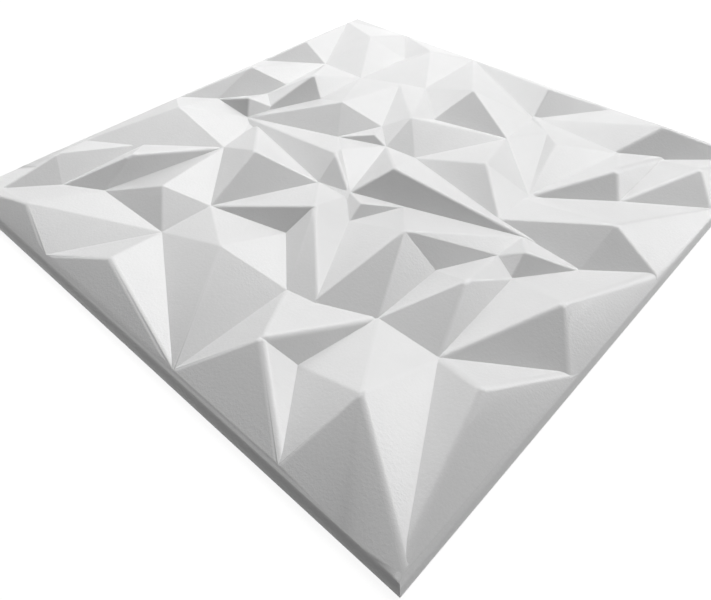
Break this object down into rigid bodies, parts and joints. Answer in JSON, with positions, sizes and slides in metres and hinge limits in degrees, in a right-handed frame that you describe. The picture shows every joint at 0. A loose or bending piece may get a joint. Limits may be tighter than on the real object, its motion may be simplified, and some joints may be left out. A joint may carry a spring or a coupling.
{
  "type": "3d wall panel tile",
  "caption": "Square white foam wall tile with a flat glued back and a relief of rounded ridges, sharp valleys and flat crystal facets.",
  "frame": {"origin": "middle of the flat back", "axes": "+Z out of the back towards the relief, X and Y along the edges of the tile"},
  "size_m": [0.6, 0.6, 0.0314],
  "materials": {
    "foam": "matte"
  },
  "bodies": {
    "root": {"wall_tile": "foam"}
  },
  "joints": []
}
